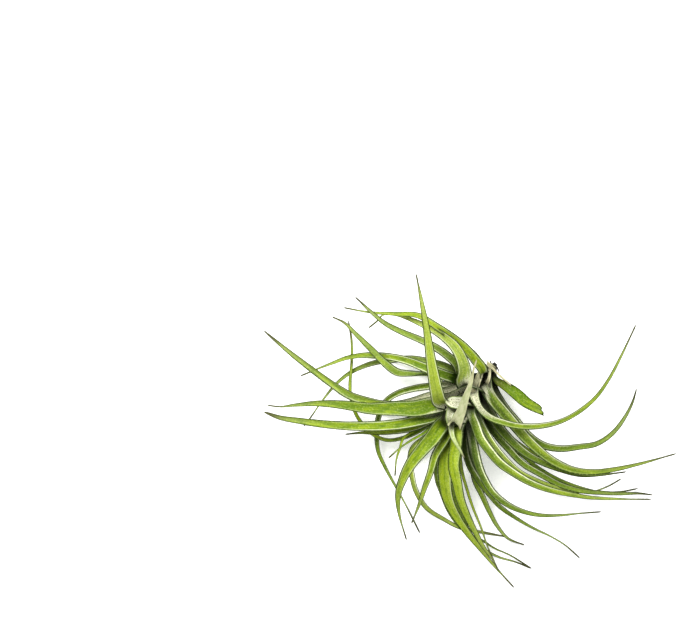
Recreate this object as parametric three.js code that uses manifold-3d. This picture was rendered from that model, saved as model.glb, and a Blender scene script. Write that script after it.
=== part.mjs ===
// Air plant: a dense rosette of narrow, recurved leaves on a short leaning stem, lying as it was picked.
// Millimetres, +Z up. The origin is on the surface, below the middle of the rosette's outline.
import * as THREE from 'three';
import { mergeVertices } from 'three/addons/utils/BufferGeometryUtils.js';
import Module from 'manifold-3d';

const wasm = await Module();
wasm.setup();

// Places: x and y of each guide point are read on a level plane, as seen from an eye above the plant.
const EYE = new THREE.Vector3(-78.3, 66.3, 1235);
const VIEW_PLANE = 35;
const CENTRING = new THREE.Vector3(-0.1, 3.4, 0);

// The stem's axis, from the root end to the growing point
const STEM_FOOT = new THREE.Vector3(13, 36, 30);
const STEM_APEX = new THREE.Vector3(-8, 11, 44);
const STEM_SIDES = 12;
const STEM_PROFILE = [[0, -3], [2.6, -3], [3.4, -1], [3.6, 6], [3.2, 16], [2.6, 26], [1.4, 32], [0, 34]];

// A blade's section and outline
const GAP = 0.3;
const EDGE_THICKNESS = 0.7;
const MID_THICKNESS = 1.1;
const BASE_THICKNESS = 1.7;
const TIP_WIDTH = 1;
const TIP_THICKNESS = 0.7;
const FULL_WIDTH_UNTIL = 0.2;
const SHEATH_LENGTH = 15;
const SHEATH_FLARE = 0.75;
// A flare of its own, in place of the sheath's: the share of the width at the foot, and over what length
const OTHER_FLARES = {
  leaf_17: [1.3, 22], leaf_dry: [-0.5, 15], leaf_torn: [-0.75, 30], sheath_old_1: [0, 15],
  sheath_old_2: [0, 15], sheath_old_3: [0, 15], sheath_old_4: [0, 15], sheath_crown: [0, 15],
  sheath_flap: [0, 15],
};
const ROUND_ENDED = new Set(['sheath_crown', 'sheath_flap']);
const ROUND_STRETCH = 0.18;
const ROUND_TIP = 0.2;
const CHANNEL_AT_BASE = 42;
const CHANNEL_AT_TIP = 44;
const TIP_CHANNEL_FROM = 0.6;
const THIN_FROM = 0.7;
const TWIST_UNTIL = 0.55;
const TWIST_LENGTH = 0.18;
const FINE_STEPS = 72;
const FEWEST_RINGS = 6;
const MOST_RINGS = 14;
const DEGREES_PER_RING = 22;
const FLATNESS = 0.08;
const WELD = 1e-4;

// The dried root stub and its wiry roots
const ROOT_PROFILE = [[0, -5.2], [0.9, -5], [1.5, -4.3], [1.8, -3.4], [0, -3.4]];
const WIRE_RADIUS = 0.45;
const WIRE_TAPER = 0.29;
const WIRE_RINGS = 7;
const WIRE_SIDES = 6;
const ROOT_WIRES = [
  [[15.2, 38.4, 28.6], [14, 39, 30], [12.9, 39.8, 31.4], [12.2, 41.4, 33]],
  [[15.2, 38.2, 28.4], [16.4, 37.4, 29.6], [17, 36, 31], [17.4, 34.6, 32.4]],
  [[15, 38.4, 28.6], [14.8, 39.6, 30], [14.4, 40.6, 31.4]],
  [[15, 38.4, 28], [15.8, 39.2, 26.6], [15.6, 39.6, 24.6]],
];

// Each leaf: name, height up the stem (0 to 1), width, taper (1 straight, more is slimmer), how steeply
// its two halves rise from the midrib, how far the blade's face is rolled and how much more at its foot
// (degrees), its guide points from the crown to the tip, and the share of a torn one's length that is left.
const LEAVES = [
  ["leaf_torn", 0.05, 8.9, 0.5, 16, 0, 0, [[12.8, 34, 35], [16.1, 29.7, 37], [19.6, 27.3, 38],
    [22.7, 25.5, 38.5], [28.2, 21.4, 39.5], [33.3, 16.9, 40], [38.7, 13.7, 40],
    [43.6, 11.5, 39.5]], 0.75],
  ["leaf_01", 0.1, 4.6, 1.0, 24, 0, 0, [[16, 29, 20], [23, 25, 12], [30, 21, 5], [37, 16, 0.4],
    [42, 13, 0.3]]],
  ["sheath_old_1", 0.5, 5, 0.7, -34, 0, 0, [[1.2, 22, 42.5], [3, 26, 44], [5, 31, 44.5],
    [7, 36, 41]], 0.55],
  ["sheath_old_2", 0.16, 2.4, 0.6, -24, 0, 0, [[10.2, 28, 39.5], [11.6, 31.5, 42],
    [11.8, 36.5, 42]], 0.6],
  ["sheath_old_3", 0.1, 1.4, 0.6, -24, 0, 0, [[12.5, 37.5, 35.5], [16.8, 33.6, 39], [21, 30, 41],
    [24.6, 27, 41]], 0.6],
  ["sheath_old_4", 0.03, 3.4, 0.5, -24, 0, 0, [[14, 36.5, 34], [12.4, 38.4, 36.5],
    [10.2, 40.2, 36]], 0.6],
  ["leaf_02", 0.1, 4.8, 1.0, 24, 0, 0, [[8, 37, 22], [2, 46, 13], [-7, 53, 6], [-16, 60, 0.5],
    [-25, 64, 0.3]]],
  ["leaf_03", 0.12, 6.4, 0.9, 26, 12, 0, [[8, 33, 42], [7, 37, 48], [3, 42, 52], [-2, 48, 55],
    [-10, 55, 57], [-20, 62, 56], [-31, 68.5, 52], [-45, 69.5, 44], [-60, 70.5, 36], [-76, 73.4, 25]]],
  ["leaf_04", 0.15, 5.5, 0.5, 32, 10, 0, [[12, 27, 31], [16, 21, 30], [22, 12, 29], [28, 5, 28],
    [35, -3, 26], [44, -9, 25], [54, -11, 24], [65, -10, 23], [76, -8, 23], [85.8, -1.4, 23],
    [93.2, 8.4, 23], [97.4, 16.8, 24], [100, 25, 25]]],
  ["leaf_05", 0.22, 7.2, 0.75, 36, 15, 0, [[8.8, 29, 39], [10.6, 24, 42], [14.2, 18, 43], [20, 11, 43.5],
    [26, 4, 43], [33, -4, 42], [40.7, -11.5, 41], [49.7, -18.4, 38], [59.8, -23.1, 36], [71, -24.9, 34],
    [83, -24, 32], [102, -20, 31], [124, -14, 29]]],
  ["leaf_06", 0.25, 5.0, 1.0, 24, 0, 0, [[-13, 32, 26], [-24, 37, 18], [-35, 40, 12], [-45, 42, 6],
    [-55, 43, 0.6], [-66, 44, 0.3]]],
  ["leaf_07", 0.3, 5.6, 0.55, 28, -10, 0, [[-5, 32, 40], [-8, 39.3, 44], [-13, 44.3, 46], [-20, 49.3, 48],
    [-30, 54.3, 47], [-40.7, 58.8, 46], [-50.6, 63.9, 44], [-57.4, 69.3, 42], [-69, 80, 36]]],
  ["leaf_08", 0.3, 5.2, 0.9, 30, -15, 0, [[-9, 35, 34], [-14, 38, 34], [-24, 41, 33], [-36, 43, 30],
    [-48, 42, 26], [-59, 40, 22], [-71, 35, 17], [-80, 28, 12], [-89, 17, 8], [-96, 7, 5], [-100, 2, 3]]],
  ["leaf_09", 0.3, 6.4, 0.75, 40, 10, 0, [[8, 19, 37], [12.5, 9.5, 37], [18.5, 0.5, 37], [26, -7.5, 36],
    [34, -14.2, 35], [44, -19.4, 33], [54, -23.4, 31], [66, -26.8, 28], [78, -26.8, 25], [94, -25, 22]]],
  ["leaf_10", 0.35, 7, 0.65, 26, 8, 66, [[-11, 31, 38], [-18, 33, 40], [-28, 33.6, 41], [-37, 33.6, 42],
    [-44, 34.6, 43], [-51, 40, 43], [-60, 49, 41], [-69, 58, 37], [-75, 64, 34], [-83, 68, 30]]],
  ["leaf_11", 0.35, 5.2, 1.0, 24, 0, 0, [[9, 13, 25], [16, 4, 17], [25, -5, 10], [35, -12, 4],
    [46, -19, 0.5], [58, -23, 0.3]]],
  ["leaf_12", 0.38, 3, 0.6, 30, 0, 0, [[7, 15, 27], [13, 5, 25], [20, -4, 22], [29, -13, 19],
    [40, -22, 15], [52, -29, 12], [65, -34, 9], [78, -37, 6], [90, -37, 5], [101, -35, 4]]],
  ["leaf_13", 0.4, 6.6, 0.85, 24, -8, 0, [[-9, 31, 45], [-17, 33.7, 48], [-27, 37.6, 48], [-37, 41.5, 45],
    [-48, 44, 41], [-60, 45, 36], [-72, 43.8, 31], [-84, 39.6, 26], [-102, 32.3, 18]]],
  ["leaf_14", 0.4, 5.0, 1.0, 24, 0, 0, [[-11, 25, 24], [-18, 29, 14], [-22, 36, 7], [-24, 47, 1],
    [-26, 57, 0.3]]],
  ["leaf_15", 0.42, 4.8, 0.45, 36, 10, 0, [[6, 15, 34], [10, 6, 32], [16, -3, 30], [23, -11, 28],
    [31.8, -20, 26], [42.8, -26.6, 23], [53.9, -32.6, 21], [66, -36.2, 19], [78, -37.4, 17],
    [90, -38, 14], [102, -38, 12], [110, -39, 11]]],
  ["leaf_16", 0.45, 5.2, 0.95, 26, -5, 0, [[-7, 28, 36], [-16.8, 27.5, 35], [-25.8, 26.5, 33],
    [-35.7, 24.8, 30], [-44, 22, 27], [-50, 18, 24], [-53.5, 12, 20], [-55.5, 5, 17], [-56, -4, 14],
    [-55, -13, 11], [-50, -24, 8], [-44, -35, 6], [-38, -46, 4.5], [-30, -62, 3]]],
  ["leaf_17", 0.5, 4.3, 0.55, 30, 18, 0, [[2.2, 23.5, 45], [3.4, 18.5, 50], [6.5, 12.5, 52.5],
    [12, 7.8, 53], [19, 5, 54], [29, 2.6, 53], [41, 2.5, 51], [53, 5, 48], [64.3, 10.6, 45],
    [75, 19.4, 43], [83, 30.4, 42], [90.3, 44, 41], [99.6, 63.4, 40]]],
  ["leaf_18", 0.5, 8.6, 1.2, 26, -12, 0, [[-4, 28, 49], [-3, 35, 56], [-5, 43, 60], [-9, 50, 61],
    [-17, 57, 57], [-30, 64, 46], [-44, 69, 36], [-52, 69, 31], [-56, 65, 27], [-61, 61, 23]]],
  ["leaf_19", 0.5, 5.4, 1.0, 24, 0, 0, [[-18, 13, 26], [-33, 12, 17], [-48, 12, 9], [-63, 13, 3.5],
    [-75, 15, 0.5], [-87, 16, 0.3]]],
  ["leaf_20", 0.5, 5.0, 1.0, 24, 0, 0, [[2, 3, 26], [8, -7, 17], [15, -16, 9], [24, -24, 3.5],
    [34, -30, 0.5], [45, -35, 0.3]]],
  ["leaf_21", 0.55, 3.6, 0.7, 30, 0, 0, [[1.8, 16, 42], [4, 10.5, 43.5], [6.6, 4.6, 44], [9.8, -1.5, 44],
    [14.2, -8.6, 43], [20.6, -16.4, 40], [30, -25, 35], [40, -30, 30], [51, -34, 22], [62, -37, 14],
    [73, -37, 10], [82, -34, 8], [91, -29, 7]]],
  ["leaf_22", 0.6, 7, 0.5, 32, -22, 0, [[-8, 24, 42], [-16, 22, 43], [-25, 19.6, 42], [-36, 16.4, 41],
    [-48, 14.9, 38], [-60, 17, 36], [-72, 21, 34], [-83, 28, 32], [-94, 36, 30], [-107.6, 46.4, 27],
    [-124, 60, 24]]],
  ["leaf_23", 0.6, 6.4, 0.85, 34, -12, 0, [[0, 11, 48], [3, 3, 51], [6, -5, 52], [11, -12, 52],
    [17, -19, 50], [25, -25, 47], [35, -31, 43], [46.2, -35.4, 38], [58.1, -38.2, 33], [72, -40.5, 28],
    [90, -41.4, 24], [109, -41.6, 21]]],
  ["leaf_24", 0.65, 6.2, 0.9, 40, -10, 0, [[-1, 10, 43], [0, 0, 44], [2, -10, 43], [4.4, -20, 40],
    [7.6, -28, 36], [13.6, -37.5, 32], [22, -44.4, 28], [31, -48.6, 24], [42, -51, 21], [54, -51.1, 19],
    [66, -50, 18], [79, -49, 18]]],
  ["leaf_25", 0.65, 4.6, 1.0, 24, 0, 0, [[-2, 0, 22], [-3, -11, 14], [-1, -20, 7], [3, -27, 2],
    [9, -32, 0.4], [14, -38, 0.3]]],
  ["leaf_26", 0.7, 10.7, 0.95, 16, -8, 0, [[-14, 17, 47], [-23, 15, 50], [-33, 13, 51], [-45, 13, 50],
    [-60, 13, 46], [-75, 15, 40], [-91, 16, 32], [-105, 15, 26], [-114, 14, 22], [-122, 15, 19]]],
  ["leaf_27", 0.7, 4.8, 0.5, 34, 0, 0, [[-2, 3, 31], [-2, -9, 28], [1, -20, 25], [3, -30, 20],
    [7.5, -39.7, 15], [11.5, -48.7, 11], [16.4, -57.6, 7], [23, -65, 4], [33, -69, 2.5]]],
  ["leaf_28", 0.75, 5.3, 1.05, 40, -10, 0, [[-4, 6, 37], [-4, -4, 37], [-3, -13, 35], [0, -22, 32],
    [5, -30, 28], [11, -38, 23], [18, -46, 18], [27.2, -52.6, 13], [37.3, -58.5, 9], [48.2, -63.7, 6],
    [57, -69, 4], [66, -77, 3]]],
  ["leaf_29", 0.75, 5.4, 1.0, 24, 0, 0, [[-11, -4, 26], [-13, -15, 17], [-13, -26, 9], [-11, -37, 3],
    [-8, -45, 0.5], [-5, -50, 0.3]]],
  ["leaf_30", 0.78, 7, 0.4, 24, 8, 0, [[-14, 12, 43], [-22, 8, 44], [-31, 5.7, 44], [-42, 3.6, 43],
    [-55, 2.4, 41], [-72, 2.4, 36], [-87, 3.4, 30], [-102, 5.4, 24], [-114, 7.4, 20], [-124, 11, 16]]],
  ["leaf_31", 0.8, 2.6, 0.25, 30, 0, 0, [[-14, 10, 34], [-23, 4, 28], [-31, -1, 24], [-41, -5, 21],
    [-50, -6, 19], [-59, -2, 18], [-67, 7, 18], [-71, 17, 19], [-72, 27, 20], [-71, 41, 23],
    [-71, 53, 26], [-73, 66, 28]]],
  ["leaf_32", 0.8, 4, 0.4, 34, 0, 0, [[-18, 1, 34], [-27, -4, 31], [-34, -10, 27], [-36, -17, 22],
    [-35, -26, 16], [-32.6, -36, 10], [-26.2, -46.4, 5], [-15.7, -53.3, 1.5], [-6, -58.4, 0.5],
    [6, -61, 0.4], [22, -64, 0.3]]],
  ["leaf_33", 0.8, 2.3, 0.5, 24, 0, 0, [[-5, 0, 43], [-6, -12, 43], [-5, -24, 40], [-2, -35, 35],
    [1.6, -46.1, 28], [6.5, -58.2, 19], [10.6, -70.1, 11], [15, -80, 7]]],
  ["leaf_34", 0.85, 9, 0.8, 18, 0, 0, [[-12.5, 15.5, 50], [-18, 17, 57.5], [-20, 23, 66], [-23.2, 40, 78],
    [-26.5, 63, 88], [-32.4, 94, 96]]],
  ["leaf_35", 0.85, 5.0, 0.6, 34, 0, 0, [[-15, 10, 38], [-23, 6, 37], [-32, 1.8, 36], [-42, -0.4, 35],
    [-54, -1.6, 32], [-65, -1.6, 29], [-75, -2.6, 26]]],
  ["leaf_36", 0.85, 3.2, 0.5, 24, 0, 0, [[-10, 0, 34], [-12, -12, 31], [-13, -25, 27], [-10, -39, 21],
    [-5, -52, 14], [1, -63, 8], [8, -71, 4], [17, -76, 1], [27, -79, 0.4], [37, -83, 0.3]]],
  ["leaf_37", 0.85, 5.2, 1.0, 24, 0, 0, [[-20, -1, 22], [-27, -8, 15], [-34, -16, 9], [-38, -24, 4],
    [-41.5, -31, 0.6], [-44, -40, 0.3]]],
  ["leaf_38", 0.9, 2.3, 0.6, 24, 0, 0, [[-15, 8, 41], [-20, 4, 43], [-28, -2, 44], [-35, -6, 43],
    [-41, -10, 41], [-49, -17, 36]]],
  ["leaf_39", 0.9, 2.3, 0.5, 24, 0, 0, [[-16, 8, 35], [-27, 3, 32], [-34, -1, 31], [-40, -5, 30],
    [-42, -11, 28], [-44, -17, 25], [-45, -28, 18]]],
  ["leaf_40", 0.9, 2.8, 0.6, 36, 30, 0, [[-13, 0, 41], [-17, -9, 40], [-20, -19, 37], [-20, -29, 32],
    [-17, -38, 26], [-13, -48, 20], [-7, -57, 14], [0, -63, 11], [7, -66, 9], [15, -71, 7],
    [24, -75, 5.5], [37, -83, 4]]],
  ["leaf_41", 0.93, 7.8, 0.8, 22, -6, 0, [[-8, 0, 52], [-9, -11, 55], [-10, -21, 55], [-8, -31, 51],
    [-6, -41, 45], [-2, -51, 37], [3, -61, 29], [8, -70, 21], [13.6, -77.6, 15], [17, -84.3, 11]]],
  ["leaf_42", 0.95, 5.8, 0.75, 30, 16, 0, [[-12, 0, 50], [-15.8, -7, 53], [-20.6, -15, 54],
    [-23.6, -25, 50], [-26.9, -34, 42], [-30.6, -45, 30], [-35, -56, 18]]],
  ["leaf_dry", 0.95, 8.7, 1, 12, 0, 0, [[-9.6, 5.5, 57], [-8.6, 4.4, 64], [-5.4, 11, 70], [-3.1, 18, 75],
    [-1, 24, 78], [0.9, 30, 81], [2.1, 36, 83], [4, 42.4, 83.6]]],
  ["sheath_crown", 0.85, 7.8, 0.4, -12, 0, 0, [[-3, 16, 50], [-7, 16.4, 54], [-11, 16.8, 56.5],
    [-15, 17.4, 56.5]], 0.5],
  ["sheath_flap", 0.98, 6.6, 0.5, -20, 0, 0, [[-11, 12, 52], [-12.2, 10, 57.5], [-12.8, 6.5, 59.5],
    [-12.8, 3, 59]], 0.6],
  ["leaf_43", 0.97, 9.2, 1, 22, 12, 0, [[-11, 1, 47], [-13, -10, 50], [-15, -21, 49], [-15, -32, 44],
    [-13, -42, 37], [-8, -52, 29], [-1, -62, 22], [7, -72, 15], [16, -83, 9], [26.6, -94.6, 4]]],
  ["leaf_curled", 0.97, 4.2, 0.6, 24, 0, 0, [[-11, 3, 53], [-11.2, -0.6, 56], [-10.4, -4.2, 58],
    [-8.4, -8, 58.5], [-6, -12, 58], [-3.4, -17, 57]]],
  ["leaf_44", 1.0, 9.6, 1.15, 26, 10, 0, [[-14, 5, 50], [-18, 2, 54], [-22.8, -4.6, 58],
    [-28.8, -11.6, 60], [-34.9, -19.4, 57], [-40.1, -29, 48], [-43, -39, 37], [-42.2, -51, 24],
    [-38, -66, 8]]],
];

const DEEP_GREEN_LEAVES = new Set(['leaf_04', 'leaf_07', 'leaf_08', 'leaf_09', 'leaf_12', 'leaf_15',
  'leaf_16', 'leaf_24', 'leaf_27', 'leaf_28', 'leaf_36', 'leaf_40']);

const COLOURS = {
  green: 0x7f9a2c,
  deepGreen: 0x55731f,
  dry: 0xcdb98f,
  torn: 0x6f8a2a,
  pale: 0xd3d3a8,
  husk: 0xb39b76,
  stem: 0x8a7458,
  root: 0x3a3128,
};
const LEAF_ROUGHNESS = 0.6;
const WOOD_ROUGHNESS = 0.9;

// Where a guide point really is: further from the eye than the plane, it moves out along its line of sight
function placed([x, y, z]) {
  const along = (EYE.z - z) / (EYE.z - VIEW_PLANE);
  return new THREE.Vector3(EYE.x + (x - EYE.x) * along, EYE.y + (y - EYE.y) * along, z).add(CENTRING);
}

function onStem(height) {
  return STEM_FOOT.clone().lerp(STEM_APEX, height).add(CENTRING);
}

// Share of the full width at a fraction of the leaf's length, with the sheath at its foot
function outline(name, fraction, left, reach, taper) {
  const blade = Math.pow(Math.min(1, (1 - fraction * left) / (1 - FULL_WIDTH_UNTIL)), taper);
  const [flare, flareLength] = OTHER_FLARES[name] ?? [SHEATH_FLARE, SHEATH_LENGTH];
  const along = Math.min(1, reach / flareLength);
  const full = blade + flare * Math.cos(along * Math.PI / 2) ** 2;
  const closing = Math.min(1, (1 - fraction) / ROUND_STRETCH);
  return ROUND_ENDED.has(name) ? full * Math.sqrt(Math.max(ROUND_TIP, closing)) : full;
}

function channelAngle(s, reach, fold) {
  const towardsBase = Math.max(0, 1 - reach / (2 * SHEATH_LENGTH));
  const towardsTip = Math.max(0, (s - TIP_CHANNEL_FROM) / (1 - TIP_CHANNEL_FROM));
  const base = Math.max(CHANNEL_AT_BASE, fold);
  const tip = Math.max(CHANNEL_AT_TIP, fold);
  return THREE.MathUtils.degToRad(fold + (base - fold) * towardsBase + (tip - fold) * towardsTip);
}

// Centre line, tangents and the upper face's direction, carried from mid-blade to both ends without spin
function spine(curve, face, twist) {
  const stations = [];
  for (let i = 0; i <= FINE_STEPS; i += 1) {
    const s = i / FINE_STEPS;
    stations.push({ s, centre: curve.getPointAt(s), tangent: curve.getTangentAt(s) });
  }
  const middle = FINE_STEPS / 2;
  const carry = (from, station) => {
    const normal = from.clone().addScaledVector(station.tangent, -from.dot(station.tangent));
    station.normal = normal.normalize();
  };
  carry(new THREE.Vector3(0, 0, 1), stations[middle]);
  for (let i = middle + 1; i <= FINE_STEPS; i += 1) {
    carry(stations[i - 1].normal, stations[i]);
  }
  for (let i = middle - 1; i >= 0; i -= 1) {
    carry(stations[i + 1].normal, stations[i]);
  }
  for (const station of stations) {
    const turned = twist * THREE.MathUtils.clamp((TWIST_UNTIL - station.s) / TWIST_LENGTH, 0, 1);
    const roll = THREE.MathUtils.degToRad(face + turned);
    station.normal.applyAxisAngle(station.tangent, roll);
    station.across = new THREE.Vector3().crossVectors(station.tangent, station.normal);
  }
  return stations;
}

function ringCount(stations) {
  let turned = 0;
  for (let i = 1; i < stations.length; i += 1) {
    turned += stations[i].tangent.angleTo(stations[i - 1].tangent);
  }
  const wanted = FEWEST_RINGS + THREE.MathUtils.radToDeg(turned) / DEGREES_PER_RING;
  return Math.min(MOST_RINGS, Math.round(wanted));
}

// Six corners of a blade's section: a shallow channel, thick along the midrib and thin at both margins
function section(station, length, row, grown) {
  const [name, , width, taper, fold, , , , left = 1] = row;
  const { centre, across, normal } = station;
  const s = station.s * left;
  const reach = station.s * length;
  const half = Math.max(TIP_WIDTH, width * outline(name, station.s, left, reach, taper)) / 2;
  const rise = half * Math.tan(channelAngle(s, reach, fold));
  const sheath = Math.max(0, 1 - reach / SHEATH_LENGTH);
  const tip = Math.max(0, (s - THIN_FROM) / (1 - THIN_FROM));
  const body = MID_THICKNESS
    + (BASE_THICKNESS - MID_THICKNESS) * sheath
    + (TIP_THICKNESS - MID_THICKNESS) * tip;
  const thick = body / 2 + grown;
  const edge = EDGE_THICKNESS / 2 + grown;
  const wide = half + grown;
  const corners = [
    [-wide, rise / 2 + edge], [0, thick - rise / 2], [wide, rise / 2 + edge],
    [wide, rise / 2 - edge], [0, -thick - rise / 2], [-wide, rise / 2 - edge],
  ];
  return corners.map(([a, n]) => centre.clone().addScaledVector(across, a).addScaledVector(normal, n));
}

// Joins rings of equally many corners into one closed skin. Both faces of a blade are split alike.
function skin(rings) {
  const count = rings[0].length;
  const positions = [];
  const triangle = (a, b, c) => positions.push(...a, ...b, ...c);
  for (let i = 0; i + 1 < rings.length; i += 1) {
    for (let j = 0; j < count; j += 1) {
      const next = (j + 1) % count;
      const [a, b, c, d] = [rings[i][j], rings[i][next], rings[i + 1][next], rings[i + 1][j]];
      if (j < count / 2) {
        triangle(a, b, c);
        triangle(a, c, d);
      } else {
        triangle(a, b, d);
        triangle(b, c, d);
      }
    }
  }
  const foot = rings[0];
  const tip = rings[rings.length - 1];
  for (let k = 2; k < count; k += 1) {
    const next = (k + 1) % count;
    triangle(foot[1], foot[next], foot[k]);
    triangle(tip[1], tip[k], tip[next]);
  }
  const geometry = new THREE.BufferGeometry();
  geometry.setAttribute('position', new THREE.Float32BufferAttribute(positions, 3));
  return geometry;
}

function solidOf(geometry) {
  const bare = new THREE.BufferGeometry();
  const loose = geometry.index ? geometry.toNonIndexed() : geometry;
  bare.setAttribute('position', loose.getAttribute('position'));
  const merged = mergeVertices(bare, WELD);
  return new wasm.Manifold(new wasm.Mesh({
    numProp: 3,
    vertProperties: merged.getAttribute('position').array,
    triVerts: new Uint32Array(merged.index.array),
  }));
}

// Moves both end stations outwards, so that a grown blade is grown at its ends too
function lengthened(stations, grown) {
  const foot = stations[0];
  const tip = stations[stations.length - 1];
  foot.centre.addScaledVector(foot.tangent, -grown);
  tip.centre.addScaledVector(tip.tangent, grown);
  return stations;
}

function bladeSolid(row, grown) {
  const [, height, , , , face, twist, points] = row;
  const curve = new THREE.CatmullRomCurve3([onStem(height), ...points.map(placed)], false, 'centripetal');
  const stations = lengthened(spine(curve, face, twist), grown);
  const rings = ringCount(stations);
  const corners = [];
  for (let i = 0; i <= rings; i += 1) {
    const station = stations[Math.round(i / rings * FINE_STEPS)];
    const ring = section(station, curve.getLength(), row, grown);
    corners.push(ring.map((corner) => corner.toArray()));
  }
  return solidOf(skin(corners));
}

// A turned shape on the stem's axis, its profile given as radius and distance from the stem's foot
function turnedOnStem(profile) {
  const axis = STEM_APEX.clone().sub(STEM_FOOT).normalize();
  const turn = new THREE.Quaternion().setFromUnitVectors(new THREE.Vector3(0, 1, 0), axis);
  const geometry = new THREE.LatheGeometry(profile.map(([r, h]) => new THREE.Vector2(r, h)), STEM_SIDES);
  return solidOf(geometry.applyQuaternion(turn).translate(...onStem(0)));
}

function wire(points, grown) {
  const curve = new THREE.CatmullRomCurve3(points.map(placed), false, 'centripetal');
  const stations = lengthened(spine(curve, 0, 0), grown);
  const rings = [];
  for (let i = 0; i <= WIRE_RINGS; i += 1) {
    const station = stations[Math.round(i / WIRE_RINGS * FINE_STEPS)];
    const radius = WIRE_RADIUS * (1 - WIRE_TAPER * station.s) + grown;
    const ring = [];
    for (let j = 0; j < WIRE_SIDES; j += 1) {
      const angle = -2 * Math.PI * j / WIRE_SIDES;
      ring.push(station.centre.clone()
        .addScaledVector(station.across, -radius * Math.cos(angle))
        .addScaledVector(station.normal, -radius * Math.sin(angle)).toArray());
    }
    rings.push(ring);
  }
  return solidOf(skin(rings));
}

function largest(solid) {
  const pieces = solid.decompose();
  return pieces.reduce((best, piece) => (piece.volume() > best.volume() ? piece : best));
}

const plant = new THREE.Group();

function addPiece(name, solid, colour, roughness) {
  const mesh = largest(solid.simplify(FLATNESS)).getMesh();
  const geometry = new THREE.BufferGeometry();
  geometry.setAttribute('position', new THREE.Float32BufferAttribute(mesh.vertProperties, 3));
  geometry.setIndex(Array.from(mesh.triVerts));
  const flat = geometry.toNonIndexed();
  flat.computeVertexNormals();
  const finish = new THREE.MeshStandardMaterial({ color: colour, roughness, metalness: 0 });
  const piece = new THREE.Mesh(flat, finish);
  piece.name = name;
  plant.add(piece);
}

function leafColour(name) {
  const kinds = {
    leaf_dry: 'dry', leaf_torn: 'torn', leaf_curled: 'pale', sheath_crown: 'pale', sheath_flap: 'pale',
  };
  if (kinds[name]) {
    return COLOURS[kinds[name]];
  }
  if (name.startsWith('sheath_old')) {
    return COLOURS.husk;
  }
  return DEEP_GREEN_LEAVES.has(name) ? COLOURS.deepGreen : COLOURS.green;
}

function grownProfile(profile) {
  const middle = (profile[0][1] + profile[profile.length - 1][1]) / 2;
  return profile.map(([r, h]) => [r > 0 ? r + GAP : 0, h + GAP * Math.sign(h - middle)]);
}

function roots(grown) {
  const stub = turnedOnStem(grown > 0 ? grownProfile(ROOT_PROFILE) : ROOT_PROFILE);
  return ROOT_WIRES.reduce((solid, points) => solid.add(wire(points, grown)), stub);
}

// From the growing point down, each leaf gives way to what is already there, and is flat where it rests
addPiece('stem', turnedOnStem(STEM_PROFILE), COLOURS.stem, WOOD_ROUGHNESS);
let taken = turnedOnStem(grownProfile(STEM_PROFILE));
addPiece('roots', roots(0).subtract(taken), COLOURS.root, WOOD_ROUGHNESS);
taken = taken.add(roots(GAP));
for (const row of [...LEAVES].reverse()) {
  const blade = bladeSolid(row, 0).subtract(taken).trimByPlane([0, 0, 1], 0);
  addPiece(row[0], blade, leafColour(row[0]), LEAF_ROUGHNESS);
  taken = taken.add(bladeSolid(row, GAP));
}

export default plant;
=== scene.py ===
"""Dresses the air plant: fine leaves with scales, pale margins and dry tips replace the faceted blades."""
import math

import bpy
import numpy as np
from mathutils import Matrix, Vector
from mathutils.bvhtree import BVHTree


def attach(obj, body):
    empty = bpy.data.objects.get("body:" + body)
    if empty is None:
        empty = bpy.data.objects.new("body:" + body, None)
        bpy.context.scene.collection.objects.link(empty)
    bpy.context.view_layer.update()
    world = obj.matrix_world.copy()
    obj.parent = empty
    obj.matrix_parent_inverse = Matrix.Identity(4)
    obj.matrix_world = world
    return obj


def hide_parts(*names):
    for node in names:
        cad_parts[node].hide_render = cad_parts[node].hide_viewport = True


MM = 0.001
BODY = "root"

# Colours that several finishes share
# Near black, for painted shade in the hollows where neighbouring pieces hide a surface
CREVICE_SHADE = (0.008, 0.009, 0.003)
SHEATH_WHITE = (0.68, 0.68, 0.5)
SHEATH_SPECK = (0.15, 0.135, 0.075)
DRIED_BROWN = (0.13, 0.09, 0.022)
DRIED_DARK = (0.035, 0.025, 0.008)
DULL_TIP = (0.28, 0.32, 0.13)

# The eye above the plant, the level plane on which the guide points are read, the width that the frame
# shows there, and the shift that brings the plant's middle over the origin, in millimetres
EYE = np.array([-78.3, 66.3, 1235.0])
VIEW_PLANE = 35.0
VIEW_WIDTH = 407.4
CENTRING = np.array([-0.1, 3.4, 0.0])
SENSOR = 36.0

# The studio, in metres: a white ground that glows a little, a pale sky, and the point the lamps face
FLOOR_REACH = 3.0
FLOOR_GLOW = 0.3
SKY_COLOUR = (0.97, 0.985, 1.0, 1.0)
SKY_STRENGTH = 0.56
LAMP_AIM = np.array([0.0, 0.0, 0.03])

# The stem's axis, from the root end to the growing point, and the profiles of the stem and the root stub
# turned round it: radius, and distance from the root end
STEM_FOOT = np.array([13.0, 36.0, 30.0])
STEM_APEX = np.array([-8.0, 11.0, 44.0])
STEM_PROFILE = [[0, -3], [2.6, -3], [3.4, -1], [3.6, 6], [3.2, 16], [2.6, 26], [1.4, 32], [0, 34]]
ROOT_PROFILE = [[0, -5.2], [0.9, -5], [1.5, -4.3], [1.8, -3.4], [0, -3.4]]
TURN_SIDES = 36
TURN_STEPS = 48
TURN_WAVES = 5
LEAST_RADIUS = 0.05

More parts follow.
